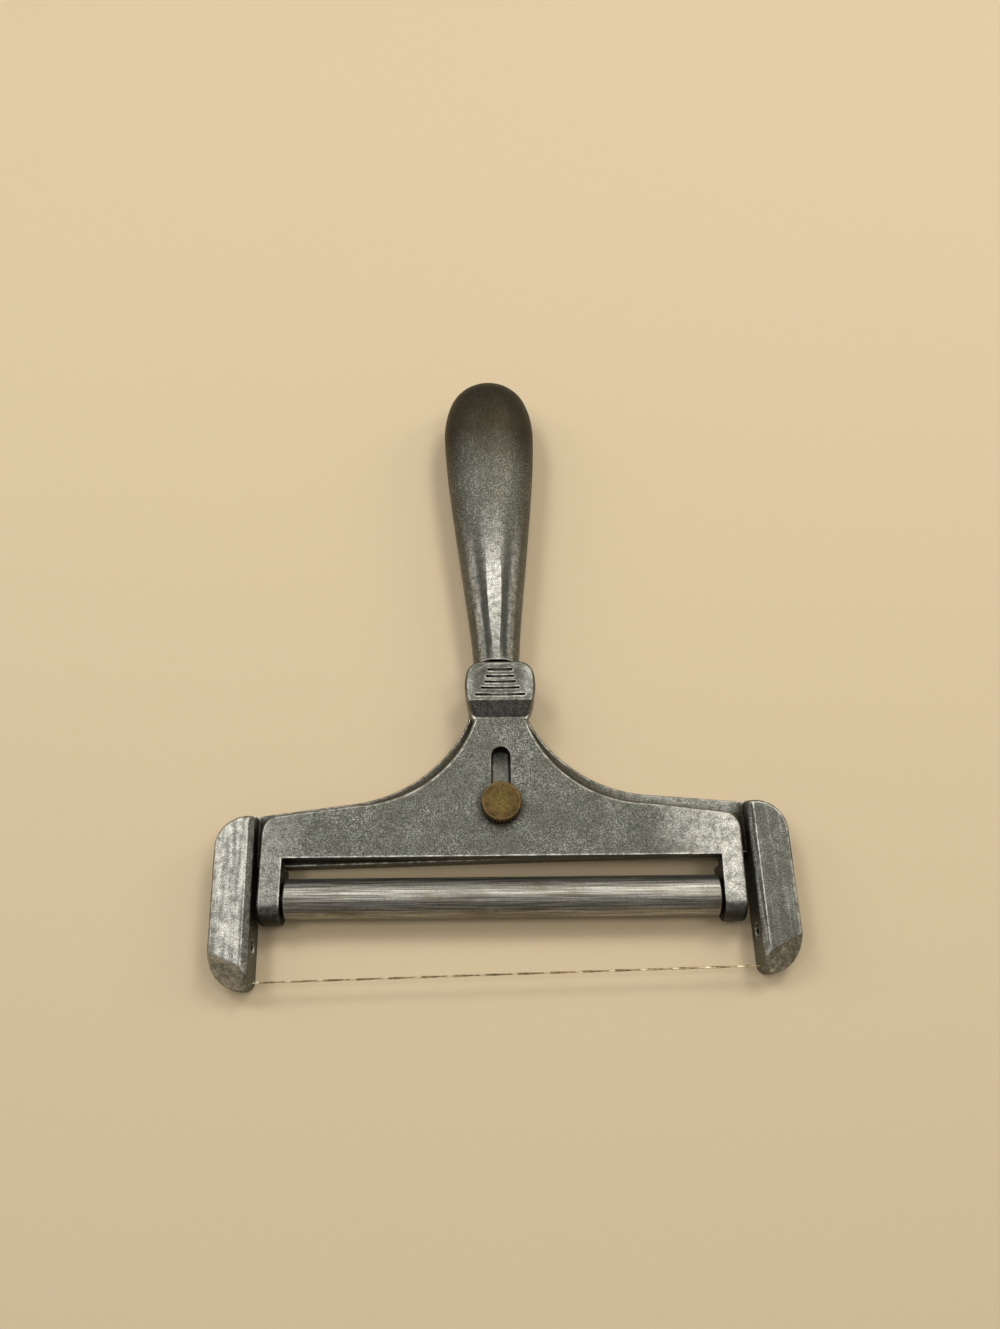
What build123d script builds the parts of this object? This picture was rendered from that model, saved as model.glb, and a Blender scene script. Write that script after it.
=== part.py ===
from build123d import *
from math import atan2, cos, degrees, radians, sin
import os

# Adjustable wire cheese slicer, lying on its flat back.
# X runs across the wire, +Y toward the end of the handle and +Z up out of the front face.
# The origin is on the table, under the middle of the whole outline.

# Overall sizes
overall_width = 128.4
overall_length = 152.2
screw_from_tip = 38.0

# Clearances
slide_clearance = 0.1
stop_clearance = 0.3
axle_clearance = 0.05
thread_clearance = 0.05
channel_clearance = 0.08
cut_overrun = 3.0
quarter_turn = 90.0

# Frame: back plate, neck and arms, one casting
plate_thickness = 5.0
plate_lower_edge = -11.6
rim_end_gap = 1.4
rim_end_y = 0.3
rim_straight_end = (33.0, 2.5)
rim_curve_mid = (16.3, 9.7)
neck_start = (7.2, 21.4)
neck_end_half_width = 4.9
rim_rounding = 0.6

arm_width = 8.8
arm_top_y = -0.6
arm_height = 10.0
arm_top_corner = 7.0
arm_tip_corner = 6.6
arm_inner_corner = 2.1
arm_inner_bevel = 1.4
arm_edge_rounding = 1.2
arm_back_rounding = 0.4
arm_ridge_rounding = 0.8
tip_bevel_start = 34.0
tip_bevel_turn = 25.0
tip_bevel_slope = 45.0

# Handle: a taper, a rounded end, and a flat land on the front of the taper
handle_start = 34.2
handle_width = 23.0
handle_thickness = 16.6
handle_back_cut = 0.33
handle_root_depth = 4.0
handle_end_share = 0.689
handle_tip_share = 0.913
land_height = 12.44
land_turn = (28.0, 14.1)
land_end = (40.0, 15.2)

# Each row: share of the taper's length, of the half width and of the thickness.
# The last row lies past the widest place, so that the taper reaches it level.
taper_shares = [
    (0.0, 0.478, 0.753),
    (0.2, 0.573, 0.806),
    (0.4, 0.702, 0.852),
    (0.6, 0.828, 0.897),
    (0.8, 0.941, 0.955),
    (1.0, 1.0, 1.0),
    (1.2, 0.941, 0.955),
]

# Thumbscrew
screw_diameter = 4.0
screw_end_recess = 0.6
head_diameter = 9.2
head_height = 3.6
head_chamfer = 0.4
knurl_count = 36
knurl_width = 0.45

# Carriage, drawn on its own plane with the screw at the origin
carriage_skew = -1.27
carriage_thickness = 4.7
carriage_side_gap = 1.7
carriage_end_y = -2.3
carriage_corner = 4.0
carriage_curve_start = (33.0, 0.3)
carriage_curve_mid = (16.2, 6.1)
carriage_neck = (6.1, 20.2)
carriage_edge_rounding = 1.0
slot_width = 4.5
slot_length = 11.35

# Lugs and roller
lug_thickness = 4.96
lug_end_beyond_axle = 1.0
lug_back_gap = 0.2
roller_y = -19.9
roller_height = 5.0
roller_diameter = 8.86
roller_end_gap = 0.6
roller_edge_chamfer = 0.3
axle_diameter = 3.0
axle_end_recess = 0.2

# Thumb rest
rest_ramp_start_y = 20.6
rest_lip_y = 23.9
rest_end_y = 33.8
rest_half_width = 8.25
rest_widest_y = 27.4
rest_end_half_width = 6.9
rest_end_corner = 3.8
rest_height = 13.0
rest_edge_rounding = 1.4
dish_half_width = 7.0
dish_half_length = 4.3
dish_depth = 0.9
groove_width = 0.6
groove_depth = 0.4

# Grooves: share of the way from the lip to the end, and of the rest's full width
groove_shares = [
    (0.13, 0.7),
    (0.315, 0.55),
    (0.475, 0.44),
    (0.61, 0.4),
    (0.77, 0.36),
]

# Cutting wire and its screws
wire_diameter = 0.5
wire_y = -36.4
wire_height = 5.0
wire_entry_depth = 0.9
wire_exit_y = -29.0
wire_tail = 0.4
wire_end_recess = 0.3
wire_screw_diameter = 3.3
wire_screw_y = -29.0
wire_screw_recess = 1.6
wire_screw_length = 5.5
wire_screw_seat = 1.0
wire_screw_slot_width = 0.6
wire_screw_slot_depth = 0.8
wire_screw_chamfer = 0.3

# Places that follow from the sizes above
half_width = overall_width / 2
screw_y = screw_from_tip - overall_length / 2
arm_inner_x = half_width - arm_width
rim_end = (arm_inner_x - rim_end_gap, rim_end_y)
handle_length = overall_length - screw_from_tip - handle_start
end_length = handle_end_share * handle_width
taper_length = handle_length - end_length
handle_depth = handle_thickness + handle_back_cut
tip_radius = handle_tip_share * handle_width / 2
side_reach = (handle_width / 2) ** 2 + end_length**2 - 2 * end_length * tip_radius
side_radius = side_reach / (handle_width - 2 * tip_radius)
side_turn = degrees(atan2(end_length - tip_radius, side_radius - handle_width / 2))
carriage_end_x = arm_inner_x - carriage_side_gap
carriage_back = plate_thickness + slide_clearance
carriage_front = carriage_back + carriage_thickness
skew = radians(carriage_skew)
lug_inner_x = carriage_end_x - lug_thickness
lug_swing = carriage_end_x * abs(sin(skew))
lug_shoulder_y = plate_lower_edge - lug_swing - stop_clearance
lug_end_y = roller_y - lug_end_beyond_axle
lug_end_radius = (carriage_front - lug_back_gap) / 2
roller_length = 2 * (lug_inner_x - roller_end_gap)
dish_y = (rest_lip_y + rest_end_y) / 2
dish_curve = (dish_half_length**2 + dish_depth**2) / (2 * dish_depth)
dish_axis_height = rest_height - dish_depth + dish_curve
wire_screw_start_x = arm_inner_x + wire_screw_recess
wire_screw_end_x = wire_screw_start_x + wire_screw_length

# Planes: the frame's own, and the carriage's, which sits slightly askew on the screw
frame_plane = Plane((0, screw_y, 0))
carriage_plane = Plane((0, screw_y, 0), x_dir=(cos(skew), sin(skew), 0), z_dir=(0, 0, 1))


def across_plane(base, y, z):
    """A plane square to the X axis of base, with local x along its Y and local y up."""
    return Plane(base.from_local_coords((0, y, z)), x_dir=base.y_dir, z_dir=base.x_dir)


def along_plane(base, y):
    """A plane square to the Y axis of base, with local x along its X and local y up."""
    return Plane(base.from_local_coords((0, y, 0)), x_dir=base.x_dir, z_dir=-base.y_dir)


def place_of(edge):
    """The middle of an edge, measured on the carriage's own plane."""
    return carriage_plane.to_local_coords(edge.center())


def dish_height(y):
    """Height of the bottom of the thumb rest's dish at this distance up the carriage."""
    return dish_axis_height - (dish_curve**2 - (y - dish_y) ** 2) ** 0.5


def handle_section(y, half, front):
    """One elliptical section of the handle, square to its length."""
    with BuildSketch(along_plane(frame_plane, y)) as section:
        with Locations((0, (front - handle_back_cut) / 2)):
            Ellipse(half, (front + handle_back_cut) / 2)
    return section.sketch


def wire_exit(overrun):
    """Where the slanting end of the wire stands, this far outside the arm."""
    slant_x = half_width - arm_inner_x - wire_entry_depth
    slant_y = wire_exit_y - wire_y
    return (half_width + overrun, wire_exit_y + slant_y * overrun / slant_x)


def tube_along(path, diameter):
    """A round tube of this diameter along a path."""
    with BuildPart() as tube:
        with BuildSketch(Plane(path @ 0, z_dir=path % 0)):
            Circle(diameter / 2)
        sweep(path=path, transition=Transition.RIGHT)
    return tube.part


# Right arm
with BuildPart() as arm:
    with BuildSketch(frame_plane) as arm_plan:
        with Locations((arm_inner_x, -screw_from_tip)):
            Rectangle(arm_width, screw_from_tip + arm_top_y, align=(Align.MIN, Align.MIN))
        corners = arm_plan.vertices().group_by(Axis.Y)
        fillet(corners[-1].sort_by(Axis.X)[-1], arm_top_corner)
        fillet(arm_plan.vertices().group_by(Axis.Y)[0].sort_by(Axis.X)[-1], arm_tip_corner)
        fillet(arm_plan.vertices().group_by(Axis.Y)[0].sort_by(Axis.X)[0], arm_inner_corner)
    extrude(amount=arm_height)
    fillet(arm.faces().sort_by(Axis.Z)[-1].edges(), arm_edge_rounding)
    ridge_point = (arm_inner_x, screw_y - tip_bevel_start, arm_height)
    slope = radians(tip_bevel_slope)
    turn = radians(tip_bevel_turn)
    tip_normal = (sin(slope) * sin(turn), -sin(slope) * cos(turn), cos(slope))
    split(bisect_by=Plane(ridge_point, z_dir=tip_normal), keep=Keep.BOTTOM)
    bevel_point = (arm_inner_x + arm_inner_bevel, screw_y, arm_height)
    split(bisect_by=Plane(bevel_point, z_dir=(-1, 0, 1)), keep=Keep.BOTTOM)
    ridges = arm.edges().filter_by(GeomType.LINE).filter_by(
        lambda e: e.center().Z > arm_height - 2 * arm_edge_rounding
        and e.center().X < half_width - 2 * arm_edge_rounding
        and e.center().Y < screw_y + arm_top_y - arm_top_corner
        and abs((e % (1 / 2)).Z) < 1 / 2
    )
    fillet(ridges, arm_ridge_rounding)
    fillet(arm.faces().sort_by(Axis.Z)[0].edges(), arm_back_rounding)

# Wire: across the gap, then slanting out through the arms
wire_entry = (arm_inner_x + wire_entry_depth, wire_y)
left_entry = (-wire_entry[0], wire_y)
left_end_x, left_end_y = wire_exit(-wire_end_recess)
with BuildLine(frame_plane.offset(wire_height)) as wire_route:
    Polyline((-left_end_x, left_end_y), left_entry, wire_entry, wire_exit(wire_tail))
cutting_wire = tube_along(wire_route.line, wire_diameter)

# Channel for the wire in the right arm, and the hole for the screw that pinches the wire there
channel_radius = wire_diameter / 2 + channel_clearance
with BuildLine(frame_plane.offset(wire_height)) as entry_run:
    Line((arm_inner_x - cut_overrun, wire_y), (wire_entry[0] + channel_radius, wire_y))
with BuildLine(frame_plane.offset(wire_height)) as exit_run:
    Line(wire_entry, wire_exit(cut_overrun))
entry_channel = tube_along(entry_run.line, 2 * channel_radius)
exit_channel = tube_along(exit_run.line, 2 * channel_radius)
with BuildPart() as cross_hole:
    with BuildSketch(across_plane(frame_plane, wire_screw_y, wire_height).offset(arm_inner_x - cut_overrun)):
        Circle(wire_screw_diameter / 2 + thread_clearance)
    extrude(amount=cut_overrun + wire_screw_end_x + wire_screw_seat - arm_inner_x)

with BuildPart() as wire_screw_right:
    screw_plane = across_plane(frame_plane, wire_screw_y, wire_height).offset(wire_screw_start_x)
    with BuildSketch(screw_plane):
        Circle(wire_screw_diameter / 2)
    extrude(amount=wire_screw_length)
    chamfer(wire_screw_right.edges().filter_by(GeomType.CIRCLE), wire_screw_chamfer)
    with BuildSketch(screw_plane):
        Rectangle(wire_screw_diameter, wire_screw_slot_width)
    extrude(amount=wire_screw_slot_depth, mode=Mode.SUBTRACT)

with BuildPart() as wire_screw_left:
    mirror(wire_screw_right.part, about=Plane.YZ)

# Handle: the taper
handle_sections = []
for along_share, width_share, front_share in taper_shares:
    section_y = handle_start + along_share * taper_length
    handle_sections.append(
        handle_section(section_y, width_share * handle_width / 2, front_share * handle_thickness)
    )
with BuildPart() as handle_taper:
    loft(handle_sections)
    split(bisect_by=along_plane(frame_plane, handle_start + taper_length), keep=Keep.TOP)

# Handle: its end is turned round, then pressed as flat as the taper
with BuildPart() as handle_end:
    with BuildSketch(Plane.XY):
        with BuildLine():
            side = JernArc((handle_width / 2, 0), (0, 1), side_radius, side_turn)
            JernArc(side @ 1, side % 1, tip_radius, quarter_turn - side_turn)
            Polyline((0, end_length), (0, 0), (handle_width / 2, 0))
        make_face()
    revolve(axis=Axis.Y)
flat_end = scale(handle_end.part, by=(1, 1, handle_depth / handle_width))

with BuildPart() as handle:
    add(handle_taper.part)
    with Locations(frame_plane.offset(handle_thickness - handle_depth / 2)):
        with Locations((0, handle_start + taper_length)):
            add(flat_end)
    split(bisect_by=Plane.XY, keep=Keep.TOP)
    with BuildSketch(across_plane(frame_plane, handle_start, 0)):
        with BuildLine():
            Polyline(
                (0, land_height),
                land_turn,
                land_end,
                (land_end[0], land_end[1] + cut_overrun),
                (0, land_end[1] + cut_overrun),
                close=True,
            )
        make_face()
    extrude(amount=handle_width / 2, both=True, mode=Mode.SUBTRACT)

# Frame casting
with BuildPart() as handle_frame:
    with BuildSketch(frame_plane):
        with BuildLine():
            Polyline(
                (0, plate_lower_edge),
                (half_width - arm_top_corner, plate_lower_edge),
                (half_width - arm_top_corner, arm_top_y),
                rim_end,
                rim_straight_end,
            )
            ThreePointArc(rim_straight_end, rim_curve_mid, neck_start)
            Polyline(
                neck_start,
                (neck_end_half_width, handle_start + handle_root_depth),
                (0, handle_start + handle_root_depth),
            )
            Line((0, handle_start + handle_root_depth), (0, plate_lower_edge))
        make_face()
        mirror(about=Plane.YZ)
    extrude(amount=plate_thickness)
    front_edges = handle_frame.faces().sort_by(Axis.Z)[-1].edges()
    fillet(front_edges.filter_by(lambda e: e.center().Y > screw_y), rim_rounding)
    add(handle.part)
    add(arm.part)
    mirror(arm.part, about=Plane.YZ)
    with Locations(frame_plane):
        Hole(screw_diameter / 2 + thread_clearance, depth=plate_thickness + cut_overrun)
    for cut in (entry_channel, exit_channel, cross_hole.part):
        add(cut, mode=Mode.SUBTRACT)
        mirror(cut, about=Plane.YZ, mode=Mode.SUBTRACT)

# Carriage casting: plate and lugs
with BuildPart() as roller_carriage:
    with BuildSketch(carriage_plane.offset(carriage_back)) as carriage_plan:
        with BuildLine():
            Line((0, plate_lower_edge), (carriage_end_x, plate_lower_edge))
            Line((carriage_end_x, plate_lower_edge), (carriage_end_x, carriage_end_y))
            Line((carriage_end_x, carriage_end_y), carriage_curve_start)
            ThreePointArc(carriage_curve_start, carriage_curve_mid, carriage_neck)
            Line(carriage_neck, (0, carriage_neck[1]))
            Line((0, carriage_neck[1]), (0, plate_lower_edge))
        make_face()
        mirror(about=Plane.YZ)
    extrude(amount=carriage_thickness)
    with BuildSketch(across_plane(carriage_plane, 0, 0).offset(lug_inner_x)):
        with BuildLine():
            Polyline(
                (lug_end_y, carriage_front),
                (carriage_end_y, carriage_front),
                (carriage_end_y, carriage_back),
                (lug_shoulder_y, carriage_back),
                (lug_shoulder_y, lug_back_gap),
                (lug_end_y, lug_back_gap),
            )
            ThreePointArc(
                (lug_end_y, lug_back_gap),
                (lug_end_y - lug_end_radius, lug_back_gap + lug_end_radius),
                (lug_end_y, carriage_front),
            )
        make_face()
    right_lug = extrude(amount=lug_thickness)
    mirror(right_lug, about=across_plane(carriage_plane, 0, 0))

    upright = roller_carriage.edges().filter_by(Axis.Z)
    outer_corners = upright.filter_by(lambda e: abs(place_of(e).X) > carriage_end_x - slide_clearance)
    outer_corners = outer_corners.filter_by(lambda e: place_of(e).Y > carriage_end_y - slide_clearance)
    fillet(outer_corners, carriage_corner)
    front_edges = roller_carriage.edges().filter_by(lambda e: e.center().Z > carriage_front - slide_clearance)
    upper_edges = front_edges.filter_by(lambda e: carriage_end_y - carriage_corner < place_of(e).Y)
    upper_edges = upper_edges.filter_by(lambda e: place_of(e).Y < carriage_neck[1] - cut_overrun)
    outer_edges = front_edges.filter_by(lambda e: abs(place_of(e).X) > carriage_end_x - slide_clearance)
    fillet(upper_edges + outer_edges, carriage_edge_rounding)

# Thumb rest: a block with bulging sides, a ramp up from the plate, a dish and five grooves.
# It is drawn about the origin, and then placed on the carriage.
with BuildPart() as thumb_rest:
    with BuildSketch(Plane.XY.offset(carriage_back)) as rest_plan:
        with BuildLine():
            Line((0, rest_end_y), (0, carriage_neck[1]))
            Line((0, carriage_neck[1]), carriage_neck)
            ThreePointArc(
                carriage_neck, (rest_half_width, rest_widest_y), (rest_end_half_width, rest_end_y)
            )
            Line((rest_end_half_width, rest_end_y), (0, rest_end_y))
        make_face()
        mirror(about=Plane.YZ)
        fillet(rest_plan.vertices().group_by(Axis.Y)[-1], rest_end_corner)
    extrude(amount=rest_height - carriage_back)
    with BuildSketch(across_plane(Plane.XY, 0, 0)):
        with BuildLine():
            Polyline(
                (carriage_neck[1] - cut_overrun, carriage_front),
                (rest_ramp_start_y, carriage_front),
                (rest_lip_y, rest_height),
                (rest_lip_y, rest_height + cut_overrun),
                (carriage_neck[1] - cut_overrun, rest_height + cut_overrun),
                close=True,
            )
        make_face()
    extrude(amount=2 * rest_half_width, both=True, mode=Mode.SUBTRACT)
    rim = thumb_rest.faces().sort_by(Axis.Z)[-1].edges()
    rim = rim.filter_by(lambda e: e.center().Y > rest_lip_y + slide_clearance)
    ramp_sides = thumb_rest.edges().filter_by(
        lambda e: rest_ramp_start_y < e.center().Y < rest_lip_y and carriage_front < e.center().Z
    )
    ramp_sides = ramp_sides.filter_by(lambda e: abs(e.center().X) > slot_width)
    fillet(rim + ramp_sides, rest_edge_rounding)
    with BuildSketch(along_plane(Plane.XY, dish_y)):
        with BuildLine():
            ThreePointArc(
                (-dish_half_width, rest_height), (0, rest_height - dish_depth), (dish_half_width, rest_height)
            )
            Polyline(
                (dish_half_width, rest_height),
                (dish_half_width, dish_axis_height),
                (-dish_half_width, dish_axis_height),
                (-dish_half_width, rest_height),
            )
        make_face()
    dish_axis = Axis((0, dish_y, dish_axis_height), (1, 0, 0))
    revolve(axis=dish_axis, mode=Mode.SUBTRACT)
    for up_share, width_share in groove_shares:
        groove_y = rest_lip_y + up_share * (rest_end_y - rest_lip_y)
        groove_centre = dish_height(groove_y) - groove_depth + groove_width / 2
        with BuildSketch(across_plane(Plane.XY, 0, 0)):
            with Locations((groove_y, groove_centre)):
                Circle(groove_width / 2)
                Rectangle(groove_width, cut_overrun, align=(Align.CENTER, Align.MIN))
        extrude(amount=width_share * rest_half_width, both=True, mode=Mode.SUBTRACT)

with BuildPart() as roller_carriage_whole:
    add(roller_carriage.part)
    with Locations(carriage_plane):
        add(thumb_rest.part)
    with BuildSketch(carriage_plane.offset(carriage_back)):
        with Locations((0, slot_length / 2)):
            SlotCenterToCenter(slot_length, slot_width, rotation=90)
    extrude(amount=carriage_thickness, mode=Mode.SUBTRACT)
    with BuildSketch(across_plane(carriage_plane, roller_y, roller_height)):
        Circle(axle_diameter / 2)
    extrude(amount=carriage_end_x, both=True, mode=Mode.SUBTRACT)

# Roller on its axle, which is pressed into the lugs
with BuildPart() as roller:
    with BuildSketch(across_plane(carriage_plane, roller_y, roller_height)):
        Circle(roller_diameter / 2)
        Circle(axle_diameter / 2 + axle_clearance, mode=Mode.SUBTRACT)
    extrude(amount=roller_length / 2, both=True)
    rims = roller.edges().filter_by(GeomType.CIRCLE).sort_by(SortBy.RADIUS)[-2:]
    chamfer(rims, roller_edge_chamfer)

with BuildPart() as roller_axle:
    with BuildSketch(across_plane(carriage_plane, roller_y, roller_height)):
        Circle(axle_diameter / 2)
    extrude(amount=carriage_end_x - axle_end_recess, both=True)

# Thumbscrew: shank through the slot into the frame, and a finely knurled head
with BuildPart() as thumbscrew:
    with BuildSketch(frame_plane.offset(screw_end_recess)):
        Circle(screw_diameter / 2)
    extrude(amount=carriage_front - screw_end_recess)
    chamfer(thumbscrew.edges().sort_by(Axis.Z)[0], head_chamfer)
    with BuildSketch(frame_plane.offset(carriage_front)):
        Circle(head_diameter / 2)
    extrude(amount=head_height)
    head_rims = thumbscrew.edges().filter_by(GeomType.CIRCLE).group_by(SortBy.RADIUS)[-1]
    chamfer(head_rims, head_chamfer)
    with BuildSketch(frame_plane.offset(carriage_front)):
        with PolarLocations(head_diameter / 2, knurl_count):
            Rectangle(knurl_width, knurl_width, rotation=45)
    extrude(amount=head_height, mode=Mode.SUBTRACT)

os.makedirs("parts", exist_ok=True)
for name, piece in (
    ("handle_frame", handle_frame.part),
    ("roller_carriage", roller_carriage_whole.part),
    ("roller", roller.part),
    ("roller_axle", roller_axle.part),
    ("thumbscrew", thumbscrew.part),
    ("cutting_wire", cutting_wire),
    ("wire_screw_left", wire_screw_left.part),
    ("wire_screw_right", wire_screw_right.part),
):
    piece.label = name
    export_step(piece, "parts/" + name + ".step")
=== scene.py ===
from functools import reduce
from math import cos, pi, radians, sin, tan

import bpy
import numpy as np
from mathutils import Matrix, Vector


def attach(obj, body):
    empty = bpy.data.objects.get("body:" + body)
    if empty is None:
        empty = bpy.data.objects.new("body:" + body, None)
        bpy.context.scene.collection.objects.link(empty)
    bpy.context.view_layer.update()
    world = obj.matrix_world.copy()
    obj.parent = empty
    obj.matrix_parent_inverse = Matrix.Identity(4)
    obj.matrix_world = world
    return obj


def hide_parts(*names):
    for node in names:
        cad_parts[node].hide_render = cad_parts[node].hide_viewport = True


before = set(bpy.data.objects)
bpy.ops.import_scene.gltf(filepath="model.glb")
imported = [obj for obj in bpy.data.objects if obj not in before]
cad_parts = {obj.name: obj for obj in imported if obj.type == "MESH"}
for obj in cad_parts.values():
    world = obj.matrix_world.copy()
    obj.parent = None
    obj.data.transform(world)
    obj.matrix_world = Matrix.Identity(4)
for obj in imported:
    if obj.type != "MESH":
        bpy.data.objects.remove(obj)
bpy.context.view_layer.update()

MM = 0.001

# Camera: its place in mm, its turns in degrees, its lens, and the nearest thing it sees in metres
camera_place = (-2.756, -92.684, 235.446)
camera_tilt = 21.41
camera_side = 0.165
camera_yaw = 1.888
photo_height = 1329
focal_pixels = 1020.9
sensor_size = 36.0
nearest_seen = 0.01

# Floor, in metres
floor_size = 3.0
floor_colour = (0.66, 0.53, 0.34, 1)
floor_shade = (0.65, 0.522, 0.335, 1)

# Soft light of the room, brighter overhead and darker on the camera's side
room_colour = (1.0, 0.97, 0.92, 1)
horizon_strength = 0.26
zenith_strength = 0.4
near_side_share = 0.6

# Lamps: place and size in mm, watts and colour. They hang above the object and at its sides.
warm_light = (1.0, 0.97, 0.92)
cool_light = (0.98, 0.98, 1.0)
lamp_aim = (0, -15, 5)
lamps = {
    "right_lamp": ((290, 420, 680), (240, 240), 2.1, warm_light),
    "left_lamp": ((-360, 380, 670), (240, 240), 1.6, cool_light),
    "near_right_lamp": ((380, -20, 820), (200, 200), 0.92, warm_light),
    "near_left_lamp": ((-380, -20, 820), (200, 200), 0.92, warm_light),
    "ceiling_lamp": ((0, 260, 830), (70, 70), 0.3, warm_light),
    "low_right_lamp": ((650, 300, 430), (140, 300), 0.8, warm_light),
    "low_left_lamp": ((-650, 300, 430), (140, 300), 0.6, cool_light),
}

# Wire, in mm: as in the casting, from the left arm to its end outside the right one
wire_diameter = 0.5
wire_half_span = 56.3
wire_y = -74.5
wire_height = 5.0
wire_left_end = (-63.9, -67.1)
wire_right_end = (64.6, -66.3)
wire_bend_radius = 0.5
wire_pitch = 14.0
wire_step = 0.2
bend_points = 24
strand_sides = 10

# Places on the object in mm. Two numbers are the start and end of a soft edge, and four are
# the soft edges of a strip: where it starts, where it is full, where it fades and where it ends.
screw_y = -38.1
handle_root = (-5.0, -3.0)
# Where the lower handle ends: its land, edges and flanks carry painted highlight
lower_handle_end = (26.0, 44.0)
handle_brightest = (6.0, 22.0)
handle_dull_start = (20.0, 44.0)
handle_brown_start = (51.0, 64.0)
handle_tip = (66.0, 74.0)
handle_wobble = 12.0
left_arm = (-58.0, -54.0)
right_arm_top = (54.0, 58.0)
right_arm_bevel = (52.0, 56.0)
arm_tips = (-68.0, -66.0)
# Painted highlight on the frame's rim on the right
rim_highlight_start = (-45.0, -40.0)
rim_highlight_strip = (18.0, 36.0, 52.0, 54.0)
# Painted brown shade on the frame's rim on the left
rim_shade_start = (-44.0, -41.0)
rim_shade_strip = (-54.0, -52.0, 20.0, 40.0)
slot_floor_start = (-40.0, -39.0)
slot_floor_strip = (-1.9, -1.4, 1.7, 2.1)
slot_beside = (-5.0, -4.0, 4.0, 5.0)
slot_length = (-40.0, -38.0, -22.0, -20.0)
carriage_right_end = (41.0, 58.0)
carriage_left_end = (-46.0, -36.0)
carriage_wobble = 14.0
lug_tips = (-60.7, -59.9)
rest_start = (-14.0, -12.0)
ramp_length = (-20.5, -19.5, -13.0, -11.0)

# Where the thumb rest's sides are: the square of the distance from its middle, in square mm
rest_side_squared = (22.0, 48.0)

# Turn of the carriage on its screw, in degrees
carriage_skew = -1.27

# How far up a face looks, from 0 for upright to 1 for level, as soft edges like those above
flat_top = (0.9, 0.97)
handle_land = (0.945, 0.985)
handle_band = (0.84, 0.9)
handle_flank = (0.6, 0.72, 0.82, 0.9)
handle_seam = (0.12, 0.3)
arm_bevel = (0.3, 0.55, 0.8, 0.92)
edge_shoulder = (0.76, 0.84, 0.92, 0.97)

# Grain of the castings in mm, and lines in features per metre along each axis
fine_grain = 0.27
coarse_grain = 1.5
patch_size = 9.0
casting_streaks = (1100, 70, 1100)
bar_lines = (70, 4200, 4200)
bar_stain_stretch = (0.45, 1, 1)

# Scratches across the handle: width and length in mm, turn in degrees, and share
handle_scratches = ((0.2, 5.0, 28.0, 0.3), (0.18, 6.0, -62.0, 0.31), (0.18, 8.0, 4.0, 0.31))

# Colours of the castings, painted highlight and painted shade among them
dark_patina = (0.043, 0.044, 0.034, 1)
light_patina = (0.2, 0.205, 0.175, 1)
patina_speck = (0.56, 0.56, 0.49, 1)
patina_patch = (0.085, 0.083, 0.065, 1)
# Worn metal and painted highlights are both laid on with these two colours
wear_and_highlight_grey = (0.3, 0.295, 0.25, 1)
wear_and_highlight_bright = (0.85, 0.84, 0.77, 1)
# Edges rubbed bright, together with a painted highlight along edges and tilted shoulders
rubbed_edge_and_highlight = (0.82, 0.81, 0.73, 1)
# Dirt and painted shade in corners and grooves
corner_dirt_and_shade = (0.03, 0.026, 0.017, 1)
# Painted shade beside other pieces, and a painted black shadow right next to them
gap_shade = (0.035, 0.025, 0.012, 1)
gap_shadow_black = (0.005, 0.004, 0.003, 1)
# Painted shade on flat tops near other pieces
crevice_shade = (0.02, 0.016, 0.009, 1)
# Painted dark reflection on the handle's band between its land and flanks
band_dark_reflection = (0.045, 0.045, 0.036, 1)
# Painted brown shade on the frame's rim
rim_shade_brown = (0.05, 0.038, 0.02, 1)
dull_grey = (0.075, 0.073, 0.055, 1)
dull_speck = (0.42, 0.4, 0.33, 1)
# Darker brown towards the handle's end
end_brown = (0.038, 0.031, 0.019, 1)
# Painted sheen on the steep faces at the handle's tip
tip_sheen_brown = (0.14, 0.115, 0.07, 1)
brown_speck = (0.2, 0.17, 0.11, 1)
scratch_grey = (0.45, 0.43, 0.36, 1)
# Painted light on the slot's floor, which lies in shade
slot_floor_lit_grey = (0.42, 0.42, 0.36, 1)
# Painted shade on the walls of the carriage's slot
slot_wall_shade = (0.02, 0.018, 0.012, 1)
rest_grey = (0.1, 0.1, 0.083, 1)
lug_tip_grey = (0.03, 0.029, 0.022, 1)

# Colours of the roller, the thumbscrew, the hidden pins and the wire, with painted shade on the screw
# and painted glints on the wire
bar_line_dark = (0.135, 0.13, 0.11, 1)
bar_line_bright = (0.52, 0.505, 0.445, 1)
bar_speck = (0.14, 0.13, 0.11, 1)
bar_stain = (0.15, 0.125, 0.09, 1)
bar_edge = (0.85, 0.83, 0.76, 1)
brass_dark = (0.04, 0.025, 0.01, 1)
brass_brown = (0.125, 0.078, 0.026, 1)
brass_middle = (0.13, 0.105, 0.026, 1)
brass_spot = (0.36, 0.31, 0.09, 1)
brass_pit = (0.035, 0.025, 0.012, 1)
brass_shade = (0.02, 0.015, 0.008, 1)
# Painted shade on the screw head's side
brass_side_shade = (0.02, 0.014, 0.007, 1)
brass_rim = (0.6, 0.44, 0.2, 1)
steel_dark = (0.24, 0.23, 0.21, 1)
steel_light = (0.52, 0.5, 0.47, 1)
wire_brown = (0.27, 0.2, 0.1, 1)
wire_straw = (0.56, 0.45, 0.25, 1)
# Painted glints where the wire's strands cross
wire_glint = (0.9, 0.83, 0.6, 1)


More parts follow.
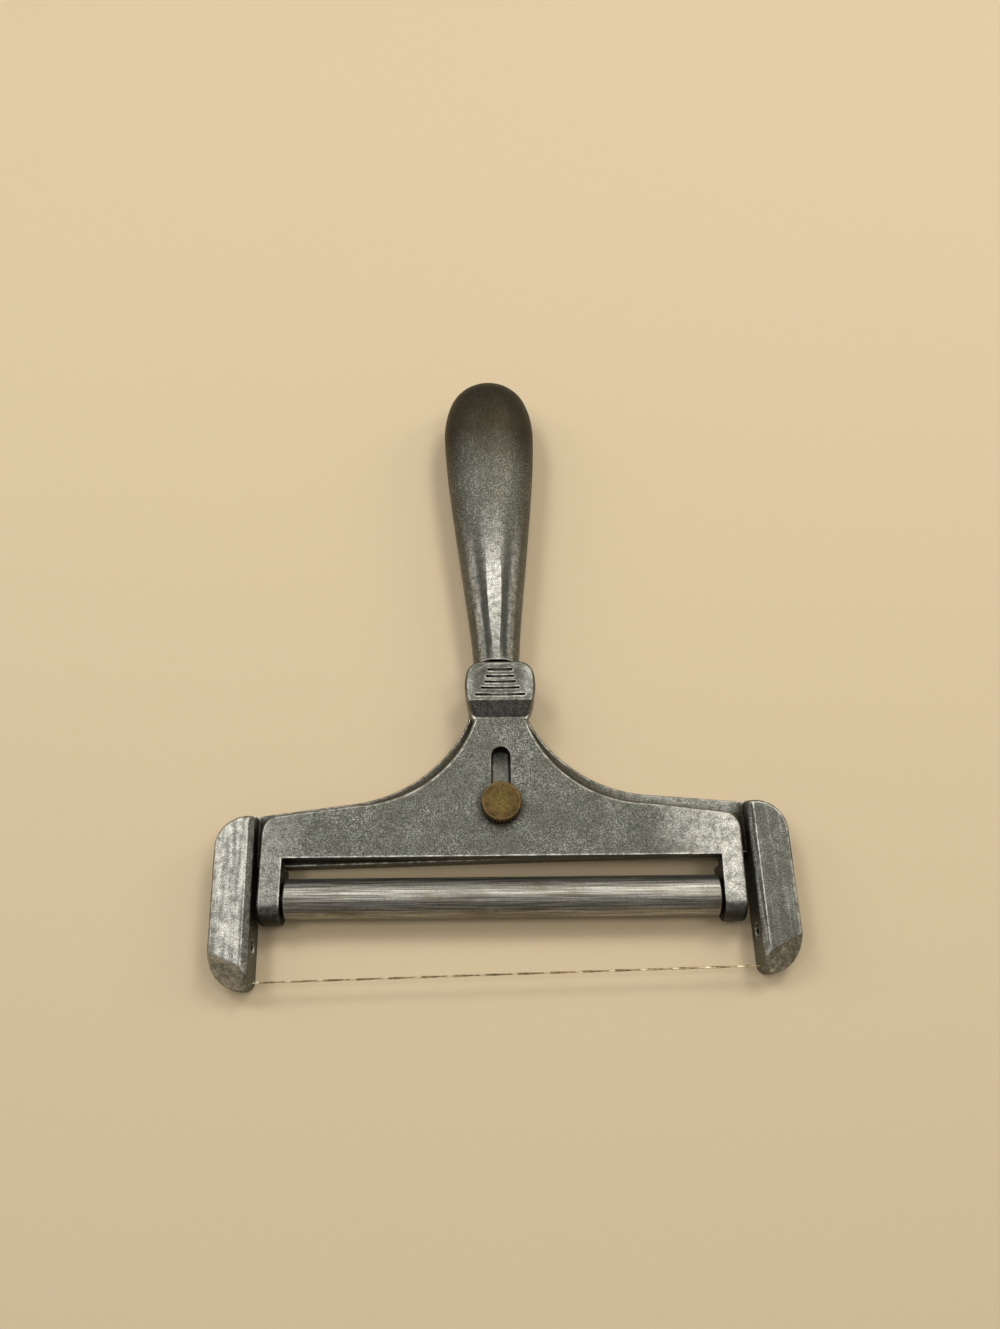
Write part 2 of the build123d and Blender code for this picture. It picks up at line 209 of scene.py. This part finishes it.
class Value:
    """The value of one socket; sums, products and powers of values add Math nodes."""

    def __init__(self, owner, socket):
        self.owner = owner
        self.socket = socket

    def join(self, operation, first, second, clamp=False):
        settings = {"operation": operation, "use_clamp": clamp}
        return self.owner.add("ShaderNodeMath", settings, {0: first, 1: second})

    def __add__(self, other):
        return self.join("ADD", self, other)

    def __radd__(self, other):
        return self.join("ADD", other, self)

    def __sub__(self, other):
        return self.join("SUBTRACT", self, other)

    def __rsub__(self, other):
        return self.join("SUBTRACT", other, self)

    def __mul__(self, other):
        return self.join("MULTIPLY", self, other)

    def __rmul__(self, other):
        return self.join("MULTIPLY", other, self)

    def __pow__(self, other):
        return self.join("POWER", self, other)

    def above(self, low, high):
        """0 up to low, 1 from high, and a straight rise between."""
        return self.join("MULTIPLY", self - low, 1 / (high - low), clamp=True)

    def below(self, low, high):
        """1 up to low, 0 from high, and a straight fall between."""
        return self.join("MULTIPLY", high - self, 1 / (high - low), clamp=True)

    def between(self, start, full, fade, end):
        """1 from full to fade, 0 before start and after end."""
        return self.above(start, full) * self.below(fade, end)

    def at_least(self, other):
        return self.join("MAXIMUM", self, other)


class Nodes:
    """The nodes of one material, or of the room."""

    def __init__(self, tree):
        self.tree = tree

    def set_socket(self, socket, value):
        if isinstance(value, Value):
            self.tree.links.new(value.socket, socket)
        else:
            socket.default_value = value

    def add(self, kind, settings, sockets, output=0):
        node = self.tree.nodes.new(kind)
        for name, value in settings.items():
            setattr(node, name, value)
        for name, value in sockets.items():
            self.set_socket(node.inputs[name], value)
        return Value(self, node.outputs[output])


class Finish(Nodes):
    """One material, built from nodes that read the object's own coordinates, in metres."""

    def __init__(self, name):
        self.material = bpy.data.materials.new(name)
        self.material.use_nodes = True
        super().__init__(self.material.node_tree)
        self.shader = self.tree.nodes["Principled BSDF"]
        self.place = self.add("ShaderNodeTexCoord", {}, {}, "Object")

    def stretched(self, scale, turn=0.0):
        """The place, turned about Z by this many degrees and then scaled along each axis."""
        turned = self.add("ShaderNodeMapping", {"vector_type": "TEXTURE"},
                          {"Vector": self.place, "Rotation": (0, 0, radians(turn))})
        return self.add("ShaderNodeMapping", {"vector_type": "POINT"},
                        {"Vector": turned, "Scale": scale})

    def noise(self, size_mm, detail, roughness, where=None, distortion=0.0):
        """Soft noise with features of about this size in mm."""
        sockets = {"Vector": where or self.place, "Scale": 1 / (size_mm * MM), "Detail": detail,
                   "Roughness": roughness, "Distortion": distortion}
        return self.add("ShaderNodeTexNoise", {}, sockets)

    def streaks(self, per_metre, detail, turn=0.0):
        """Noise that is drawn out, with this many features in a metre along each axis."""
        where = self.stretched(per_metre, turn)
        return self.add("ShaderNodeTexNoise", {}, {"Vector": where, "Scale": 1.0, "Detail": detail})

    def scratches(self, width_mm, length_mm, turn, share):
        """Thin scratches along one direction: the peaks of a noise that is drawn out along it."""
        across = 1 / (width_mm * MM)
        along = 1 / (length_mm * MM)
        lines = self.streaks((across, along, across / 6), 1.0, turn)
        return lines.above(1 - share, 1 - share + 0.04)

    def axis(self, name):
        """The place along one axis, in mm."""
        return self.add("ShaderNodeSeparateXYZ", {}, {0: self.place}, name) * (1 / MM)

    def wave(self, place, period_mm):
        """Rises to 1 and falls to -1 once over each period along this place."""
        return self.add("ShaderNodeMath", {"operation": "SINE"}, {0: place * (2 * pi / period_mm)})

    def mix(self, share, first, second):
        """From the first colour to the second as share goes from 0 to 1."""
        return self.add("ShaderNodeMix", {"data_type": "RGBA"},
                        {0: share, 6: first, 7: second}, 2)

    def layered(self, colour, layers):
        """Lays further colours over the first, each with its own share."""
        for share, tone in layers:
            colour = self.mix(share, colour, tone)
        return colour

    def hollow(self, distance_mm, own_only=True):
        """0 deep in corners and grooves, 1 in the open; other pieces count too if not own_only."""
        return self.add("ShaderNodeAmbientOcclusion", {"only_local": own_only, "samples": 8},
                        {"Distance": distance_mm * MM}, "AO")

    def facing(self):
        """The direction in which the face looks."""
        return self.add("ShaderNodeNewGeometry", {}, {}, "Normal")

    def level(self):
        """How far up the face looks: 1 where it is level, 0 where it is upright."""
        return self.add("ShaderNodeSeparateXYZ", {}, {0: self.facing()}, "Z")

    def rounded(self, radius_mm, samples):
        """The direction of the face as if its edges were rounded by this radius."""
        return self.add("ShaderNodeBevel", {"samples": samples}, {"Radius": radius_mm * MM})

    def edge(self, radius_mm, low=0.88, high=0.992):
        """1 where the piece's edges are, over this radius, and 0 on its flats."""
        along = self.add("ShaderNodeVectorMath", {"operation": "DOT_PRODUCT"},
                         {0: self.rounded(radius_mm, 8), 1: self.facing()}, "Value")
        return along.below(low, high)

    def bump(self, height, distance_mm, strength, **sockets):
        sockets.update(Height=height, Distance=distance_mm * MM, Strength=strength)
        return self.add("ShaderNodeBump", {}, sockets)

    def put(self, **sockets):
        """Sets the shader's sockets, named in lower case, and returns the material."""
        for name, value in sockets.items():
            self.set_socket(self.shader.inputs[name.replace("_", " ").title()], value)
        return self.material


def strongest(shares):
    """The strongest of several shares at each place."""
    return reduce(Value.at_least, shares)


def casting(name, wear_and_light_places):
    """Aged grey casting: fine grain, dark patina and painted shade in the hollows, painted shade beside
    other pieces, bright where it is worn and where highlights are painted.
    """
    finish = Finish(name)
    fine = finish.noise(fine_grain, 3.0, 0.7)
    coarse = finish.noise(coarse_grain, 4.0, 0.65)
    patches = finish.noise(patch_size, 4.0, 0.6)
    level = finish.level()
    hollow = finish.hollow(2.4)
    beside = finish.hollow(2.2, own_only=False)
    wear_and_light = wear_and_light_places(finish, fine, level)

    grain = (fine * 0.86 + coarse * 0.14).above(0.38, 0.62)
    specks = fine.above(0.53, 0.62) * (0.25 + 0.75 * patches.above(0.4, 0.62)) * coarse.above(0.36, 0.56)
    # Worn places together with painted highlights on lit facets, bevels, rims and ends
    wear_and_highlight = wear_and_light["wear_and_highlight"] * (0.4 + 0.6 * coarse.above(0.38, 0.6))
    sheltered = level.above(-0.8, -0.4) * (1.0 - wear_and_light["open"])
    # Edges and tilted shoulders: rubbed bright, and a painted highlight laid on them
    shoulder = level.between(*edge_shoulder) * (1.0 - wear_and_light["curved"])
    rubbed_and_highlight = finish.edge(0.8).at_least(shoulder * 0.85) * fine.above(0.3, 0.48) * hollow.above(0.5, 0.75)
    rubbed_and_highlight = rubbed_and_highlight * (0.3 + 0.7 * coarse.above(0.42, 0.58)) * (1.0 - 0.85 * wear_and_light["dull"])
    colour = finish.layered(finish.mix(grain, dark_patina, light_patina), [
        (specks * 0.62, patina_speck),
        (patches.below(0.35, 0.55) * 0.3, patina_patch),
        (wear_and_highlight, finish.mix(fine.above(0.38, 0.6), wear_and_highlight_grey, wear_and_highlight_bright)),
        *wear_and_light["tones"],
        # Dirt and painted shade deep in corners and grooves
        (hollow.below(0.3, 0.85) * 0.8, corner_dirt_and_shade),
        # Painted shade beside the carriage and other pieces, blackest right next to them
        (beside.below(0.45, 0.82) * 0.85 * sheltered, gap_shade),
        (beside.below(0.12, 0.4) * 0.95 * sheltered, gap_shadow_black),
        (rubbed_and_highlight, rubbed_edge_and_highlight),
    ])
    roughness = 0.47 - 0.12 * wear_and_highlight - 0.08 * rubbed_and_highlight + 0.06 * wear_and_light["dull"]
    height = (fine + coarse * 0.6) * (1.0 - 0.6 * wear_and_light["dull"])
    normal = finish.bump(height, 0.14, 0.9, Normal=finish.rounded(0.16, 6))
    return finish.put(base_color=colour, metallic=1.0, roughness=roughness, normal=normal)


def handle_wear_and_light(finish, fine, level, streaks):
    """The handle: painted highlight on the land, ridges and flanks at its root with a painted dark
    reflection band, seam specks there, dull above, a darker brown end with painted sheen at its tip.
    """
    along = finish.axis("Y")
    wavy = along + finish.noise(patch_size, 4.0, 0.6) * handle_wobble
    lower_handle = wavy.below(*lower_handle_end) * along.above(*handle_root)
    dulled = wavy.above(*handle_dull_start)
    browned = wavy.above(*handle_brown_start)
    land = level.above(*handle_land)
    scratched = strongest([finish.scratches(*scratch) for scratch in handle_scratches])
    wear_and_highlight = [
        # Painted highlight on the lower handle's land, its edge lines and its flanks, with bright specks
        # at the seam
        lower_handle * land * (0.5 + 0.5 * wavy.above(*handle_brightest)),
        lower_handle * finish.edge(0.4, 0.985, 0.999) * level.above(0.95, 0.97),
        lower_handle * level.between(*handle_flank) * (0.35 + 0.45 * streaks.above(0.4, 0.6)),
        lower_handle * level.below(*handle_seam) * fine.above(0.5, 0.56) * 0.8,
    ]
    tones = [
        # Painted dark reflection on the band between the land and the flanks
        (lower_handle * level.above(*handle_band) * (1.0 - land) * 0.75, band_dark_reflection),
        (dulled * (0.35 + 0.55 * fine.below(0.42, 0.58)), dull_grey),
        (dulled * (1.0 - 0.75 * browned) * fine.above(0.55, 0.63) * 0.5, dull_speck),
        # Darker brown towards the handle's end
        (browned * 0.93, end_brown),
        # Painted sheen on the steep faces at the handle's tip
        (browned * along.above(*handle_tip) * level.below(0.3, 0.7) * 0.8, tip_sheen_brown),
        (browned * fine.above(0.56, 0.64) * 0.25, brown_speck),
        (scratched * dulled * (1.0 - 0.8 * browned) * 0.45, scratch_grey),
    ]
    return wear_and_highlight, tones, dulled


def arm_wear_and_highlight(finish, level, streaks):
    """The arms: painted highlight with polish streaks on the left one's top, bevel and tip, and on the
    right one's bevel most.
    """
    across = finish.axis("X")
    on_left = across.below(*left_arm)
    on_right_top = across.above(*right_arm_top) * level.above(0.9, 0.98)
    on_right_bevel = across.above(*right_arm_bevel) * level.between(*arm_bevel)
    at_tips = finish.axis("Y").below(*arm_tips)
    return [
        # Painted highlight with polish streaks on the left arm's top, and painted highlight on the
        # bevels and tips
        on_left * level.above(0.72, 0.85) * (0.35 + 0.65 * streaks.above(0.38, 0.58)),
        on_left * level.between(*arm_bevel) * (0.3 + 0.4 * streaks.above(0.35, 0.6)),
        on_left * level.between(*arm_bevel) * at_tips * 0.85,
        on_right_top * streaks.above(0.5, 0.68) * 0.22,
        on_right_bevel * streaks.above(0.42, 0.6) * 0.8,
        on_right_bevel * at_tips * 0.4,
    ]


def plate_wear_and_light(finish, fine, level):
    """The plate: painted highlight on the rim on the right, painted brown shade on the left, painted
    shade beside the carriage, a slot floor brightened with painted light.
    """
    across = finish.axis("X")
    along = finish.axis("Y")
    off_handle = along.below(*handle_root)
    # Painted highlight on the rim on the right, painted brown shade on the rim on the left
    rim_highlight = off_handle * along.above(*rim_highlight_start) * across.between(*rim_highlight_strip)
    rim_shade = off_handle * along.above(*rim_shade_start) * across.between(*rim_shade_strip)
    # Painted shade on flat tops near other pieces: round the screw head, beside the carriage and in the
    # arm gaps
    crevice = off_handle * finish.hollow(3.6, own_only=False).below(0.68, 0.8) * level.above(*flat_top)
    slot_floor = off_handle * along.above(*slot_floor_start) * across.between(*slot_floor_strip)
    tones = [
        (rim_shade * (1.0 - rim_highlight) * 0.6, rim_shade_brown),
        (crevice * 0.85, crevice_shade),
        # Painted light on the slot's floor
        (slot_floor * (0.35 + 0.4 * fine.above(0.4, 0.6)), slot_floor_lit_grey),
    ]
    return [rim_highlight * 0.3], tones, slot_floor


def frame_wear_and_light(finish, fine, level):
    """Where the frame is worn, where highlight and shade are painted on it, its other tones, and where
    it is dull, curved, or open to the light beside the carriage.
    """
    streaks = finish.streaks(casting_streaks, 4.0)
    handle_wear_and_highlight, handle_tones, dulled = handle_wear_and_light(finish, fine, level, streaks)
    plate_highlight, plate_tones, slot_floor = plate_wear_and_light(finish, fine, level)
    wear_and_highlight = strongest(arm_wear_and_highlight(finish, level, streaks) + handle_wear_and_highlight + plate_highlight)
    on_handle = finish.axis("Y").above(*handle_root)
    return {"wear_and_highlight": wear_and_highlight, "tones": handle_tones + plate_tones, "dull": dulled,
            "curved": on_handle, "open": slot_floor}


def carriage_wear_and_light(finish, fine, level):
    """The carriage: worn ends with painted highlight, the right one most, painted highlight on the
    rest's sides, painted shade on the slot's walls, dull slot edge and lug tips, dark rest.
    """
    across = finish.axis("X")
    along = finish.axis("Y")
    wavy = across + finish.noise(7.0, 4.0, 0.6) * carriage_wobble
    rest = along.above(*rest_start) * level.above(*flat_top)
    rest_sides = rest * (across * across).above(*rest_side_squared)
    ramp = along.between(*ramp_length) * level.below(0.85, 0.93)
    at_slot = across.between(*slot_beside) * along.between(*slot_length)
    at_tips = (along - tan(radians(carriage_skew)) * across).below(*lug_tips)
    ends = (wavy.above(*carriage_right_end) * 0.9).at_least(wavy.below(*carriage_left_end) * 0.35)
    tones = [
        ((rest - rest_sides) * 0.6, rest_grey),
        (at_tips * 0.75, lug_tip_grey),
        # Painted shade on the slot's upright walls
        (at_slot * level.below(0.3, 0.6) * 0.85, slot_wall_shade),
    ]
    # Worn ends with painted highlight, the right end most, and painted highlight on the rest's sloping
    # sides
    return {"wear_and_highlight": strongest([ends * level.above(0.6, 0.85), rest_sides * 0.45, ramp * 0.25]),
            "tones": tones, "dull": at_slot.at_least(at_tips), "curved": rest * 0.85,
            "open": ramp * 0.8}


def drawn_bar(name):
    """Drawn and worn bar: fine lines along its length, dark specks and a few brown stains."""
    finish = Finish(name)
    lines = finish.streaks(bar_lines, 3.0, carriage_skew)
    stains = finish.noise(6.0, 4.0, 0.65, finish.stretched(bar_stain_stretch, carriage_skew))
    grain = finish.noise(fine_grain, 3.0, 0.7)
    colour = finish.layered(finish.mix(lines.above(0.36, 0.62), bar_line_dark, bar_line_bright), [
        (grain.below(0.38, 0.52) * 0.6, bar_speck),
        (stains.above(0.5, 0.7) * 0.65, bar_stain),
        (finish.edge(0.5) * 0.6, bar_edge),
    ])
    roughness = 0.34 + 0.12 * lines + 0.1 * stains
    normal = finish.bump(lines * 0.7 + grain * 0.7, 0.06, 0.8)
    return finish.put(base_color=colour, metallic=1.0, roughness=roughness, normal=normal)


def aged_brass(name):
    """Browned brass, yellower in the middle, with dark spots, painted shade on its side and where other
    pieces are near, and a thin bright rim.
    """
    finish = Finish(name)
    cloud = finish.noise(2.2, 5.0, 0.7, distortion=0.8)
    spots = finish.noise(0.45, 4.0, 0.75)
    from_middle = (finish.axis("X") ** 2.0 + (finish.axis("Y") - screw_y) ** 2.0) ** 0.5
    middle = (from_middle + 3.0 * cloud).below(1.6, 5.2)
    edge = finish.edge(0.3)
    colour = finish.layered(finish.mix(cloud.above(0.38, 0.62), brass_dark, brass_brown), [
        (middle * 0.5, brass_middle),
        (spots.above(0.5, 0.66) * middle * 0.4, brass_spot),
        (spots.below(0.36, 0.46) * 0.75, brass_pit),
        (finish.hollow(3.0, own_only=False).below(0.45, 0.85) * 0.9, brass_shade),
        # Painted shade on the sideways faces of the head
        (finish.level().below(0.2, 0.6) * 0.6, brass_side_shade),
        (edge * 0.9, brass_rim),
    ])
    roughness = 0.48 - 0.1 * cloud - 0.1 * edge
    normal = finish.bump(spots * 0.8 + cloud * 0.6, 0.08, 0.8)
    return finish.put(base_color=colour, metallic=0.9, roughness=roughness, normal=normal)


def plain_steel(name):
    """Dull steel with a faint grain."""
    finish = Finish(name)
    grain = finish.noise(0.5, 4.0, 0.6)
    colour = finish.mix(grain.above(0.35, 0.7), steel_dark, steel_light)
    normal = finish.bump(grain, 0.03, 0.6)
    return finish.put(base_color=colour, metallic=1.0, roughness=0.38, normal=normal)


def wire_steel(name):
    """Wire with a brown and straw grain, and painted glints where its strands cross."""
    finish = Finish(name)
    # Painted glints where the strands cross
    crossings = finish.wave(finish.axis("X"), wire_pitch / 2).above(0.7, 0.95)
    grain = finish.noise(1.0, 3.0, 0.6)
    colour = finish.mix(grain.above(0.4, 0.65), wire_brown, wire_straw)
    colour = finish.mix(crossings * 0.75, colour, wire_glint)
    return finish.put(base_color=colour, metallic=1.0, roughness=0.3)


def pale_floor(name):
    """Plain board, a hair darker in places."""
    finish = Finish(name)
    colour = finish.mix(finish.noise(160.0, 2.0, 0.5), floor_shade, floor_colour)
    return finish.put(base_color=colour, roughness=0.72)


def route_points():
    """Points one step apart along the wire's line: straight runs joined by tangent arcs."""
    corners = [np.array(wire_left_end), np.array((-wire_half_span, wire_y)),
               np.array((wire_half_span, wire_y)), np.array(wire_right_end)]
    pieces = [corners[0][None]]
    for before, corner, after in zip(corners, corners[1:], corners[2:]):
        start = (before - corner) / np.linalg.norm(before - corner)
        end = (after - corner) / np.linalg.norm(after - corner)
        half_angle = np.arccos(np.clip(start @ end, -1, 1)) / 2
        reach = wire_bend_radius / tan(half_angle)
        middle = (start + end) / np.linalg.norm(start + end)
        centre = corner + middle * wire_bend_radius / sin(half_angle)
        share = np.linspace(0, 1, bend_points)[:, None]
        chord = corner + reach * ((1 - share) * start + share * end)
        spokes = chord - centre
        pieces.append(centre + wire_bend_radius * spokes / np.linalg.norm(spokes, axis=1)[:, None])
    pieces.append(corners[-1][None])
    line = np.concatenate(pieces)
    lengths = np.concatenate([[0], np.cumsum(np.linalg.norm(np.diff(line, axis=0), axis=1))])
    places = np.linspace(0, lengths[-1], int(lengths[-1] / wire_step) + 1)
    return np.stack([np.interp(places, lengths, line[:, 0]),
                     np.interp(places, lengths, line[:, 1]),
                     np.full(len(places), wire_height)], 1), places


def strand_surface(phase):
    """One strand of the wire.

    Its centre is the wire's line plus a quarter of the wire's diameter, turned about that line
    by one turn per pitch; its skin is a circle of that same radius round its centre, square to
    the strand's own direction, and both ends are closed by a point.
    """
    line, along = route_points()
    ahead = np.gradient(line, axis=0)
    ahead /= np.linalg.norm(ahead, axis=1)[:, None]
    up = np.array([0.0, 0.0, 1.0])
    side = np.cross(up, ahead)
    angle = 2 * pi * along / wire_pitch + phase
    offset = wire_diameter / 4
    centre = line + offset * (np.cos(angle)[:, None] * side + np.sin(angle)[:, None] * up)
    tangent = np.gradient(centre, axis=0)
    tangent /= np.linalg.norm(tangent, axis=1)[:, None]
    first = np.cross(up, tangent)
    first /= np.linalg.norm(first, axis=1)[:, None]
    second = np.cross(tangent, first)
    turn = np.linspace(0, 2 * pi, strand_sides, endpoint=False)
    skin = centre[:, None] + offset * (np.cos(turn)[None, :, None] * first[:, None]
                                       + np.sin(turn)[None, :, None] * second[:, None])
    return skin, centre[0], centre[-1]


def tube_mesh(name, skins):
    """One mesh of closed tubes: each is a grid of rings, with a point at each end."""
    points = []
    faces = []
    start = 0
    for skin, first_end, last_end in skins:
        rings, around = skin.shape[:2]
        points.append(skin.reshape(-1, 3))
        points.append(np.stack([first_end, last_end]))
        ring = np.arange(rings - 1)[:, None] * around
        here = np.arange(around)[None, :]
        there = (here + 1) % around
        quads = np.stack([ring + here, ring + there, ring + around + there, ring + around + here], -1)
        faces += (start + quads.reshape(-1, 4)).tolist()
        first_cap = start + rings * around
        last_ring = start + (rings - 1) * around
        for near in range(around):
            beside = (near + 1) % around
            faces.append([first_cap, start + beside, start + near])
            faces.append([first_cap + 1, last_ring + near, last_ring + beside])
        start += rings * around + 2
    mesh = bpy.data.meshes.new(name)
    mesh.from_pydata((np.concatenate(points) * MM).tolist(), [], faces)
    mesh.polygons.foreach_set("use_smooth", np.ones(len(mesh.polygons), bool))
    mesh.update()
    return shown(name, mesh)


def shown(name, data):
    """Puts new data into the scene as an object."""
    piece = bpy.data.objects.new(name, data)
    bpy.context.scene.collection.objects.link(piece)
    return piece


def dress(node, material):
    """Gives a CAD node its finish."""
    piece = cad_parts[node]
    piece.data.materials.clear()
    piece.data.materials.append(material)


def hang_lamp(name, place_mm, size_mm, watts, colour):
    """A soft rectangular lamp that faces the object."""
    light = bpy.data.lights.new(name, "AREA")
    light.shape = "RECTANGLE"
    light.size, light.size_y = size_mm[0] * MM, size_mm[1] * MM
    light.energy = watts
    light.color = colour
    lamp = shown(name, light)
    lamp.location = Vector(place_mm) * MM
    toward = Vector(lamp_aim) * MM - lamp.location
    lamp.rotation_euler = toward.to_track_quat("-Z", "Y").to_euler()


# Camera
yaw, side, tilt = radians(camera_yaw), radians(camera_side), radians(camera_tilt)
turn_yaw = np.array([[cos(yaw), -sin(yaw), 0], [sin(yaw), cos(yaw), 0], [0, 0, 1]])
turn_side = np.array([[cos(side), 0, sin(side)], [0, 1, 0], [-sin(side), 0, cos(side)]])
turn_tilt = np.array([[1, 0, 0], [0, cos(tilt), sin(tilt)], [0, -sin(tilt), cos(tilt)]])
camera_axes = Matrix((turn_tilt @ turn_side @ turn_yaw).T.tolist()).to_4x4()
camera = shown("camera", bpy.data.cameras.new("camera"))
camera.matrix_world = Matrix.Translation(Vector(camera_place) * MM) @ camera_axes
camera.data.sensor_width = sensor_size
camera.data.lens = sensor_size * focal_pixels / photo_height
camera.data.clip_start = nearest_seen
bpy.context.scene.camera = camera

# Floor
half = floor_size / 2
floor_corners = [(-half, -half, 0), (half, -half, 0), (half, half, 0), (-half, half, 0)]
floor_mesh = bpy.data.meshes.new("floor")
floor_mesh.from_pydata(floor_corners, [], [(0, 1, 2, 3)])
floor_mesh.materials.append(pale_floor("pale_floor"))
floor = shown("floor", floor_mesh)

# Light
world = bpy.data.worlds.new("room")
world.use_nodes = True
room = Nodes(world.node_tree)
direction = room.add("ShaderNodeTexCoord", {}, {}, "Generated")
upward = room.add("ShaderNodeSeparateXYZ", {}, {0: direction}, "Z").above(0.0, 0.9)
away = room.add("ShaderNodeSeparateXYZ", {}, {0: direction}, "Y").above(-0.6, 0.1)
strength = horizon_strength + (zenith_strength - horizon_strength) * upward
strength = strength * (near_side_share + (1 - near_side_share) * away)
background = world.node_tree.nodes["Background"]
room.set_socket(background.inputs["Color"], room_colour)
room.set_socket(background.inputs["Strength"], strength)
bpy.context.scene.world = world
for lamp_name, settings in lamps.items():
    hang_lamp(lamp_name, *settings)
bpy.context.scene.view_settings.view_transform = "Standard"

# Finishes of the castings, roller, axle and screws
dress("handle_frame", casting("frame_casting", frame_wear_and_light))
dress("roller_carriage", casting("carriage_casting", carriage_wear_and_light))
dress("roller", drawn_bar("roller_metal"))
dress("thumbscrew", aged_brass("screw_brass"))
pin_finish = plain_steel("pin_steel")
for pin in ("roller_axle", "wire_screw_left", "wire_screw_right"):
    dress(pin, pin_finish)

# Twisted wire
twisted_wire = tube_mesh("twisted_wire", [strand_surface(0.0), strand_surface(pi)])
twisted_wire.data.materials.append(wire_steel("wire_steel"))
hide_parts("cutting_wire")
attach(twisted_wire, "frame")
